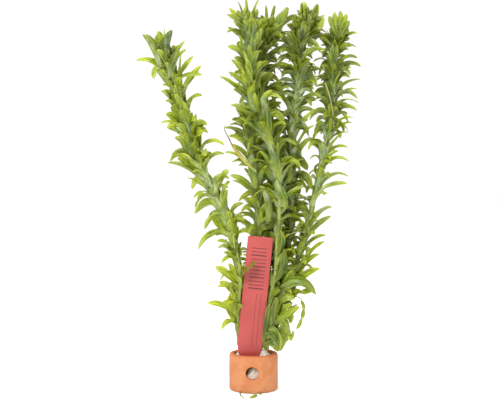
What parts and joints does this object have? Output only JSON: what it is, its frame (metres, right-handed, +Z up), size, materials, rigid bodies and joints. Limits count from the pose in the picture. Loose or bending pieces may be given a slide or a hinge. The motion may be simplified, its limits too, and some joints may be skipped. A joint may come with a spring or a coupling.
{
  "type": "potted brazilian waterweed",
  "caption": "Bunch of leafy Brazilian waterweed cuttings held upright by mineral wool in a small terracotta ring pot, with a plain plastic stick label.",
  "frame": {"origin": "centre of the clay ring's underside, on the surface that it stands on", "axes": "+Z up along the bunch; +X to the right and -Y towards the viewer, as in the picture, with the label at the front"},
  "size_m": [0.1336, 0.0569, 0.2322],
  "materials": {
    "terracotta": "matt, mottled, unglazed",
    "mineral_wool": "matt, fibrous",
    "label_plastic": "satin",
    "waterweed": "smooth, slightly moist, translucent leaf"
  },
  "bodies": {
    "root": {"clay_ring": "terracotta", "wool_plug": "mineral_wool", "plant_label": "label_plastic", "stem_left": "waterweed", "stem_low": "waterweed", "stem_front": "waterweed", "stem_tall": "waterweed", "stem_centre": "waterweed", "stem_right": "waterweed"}
  },
  "joints": []
}
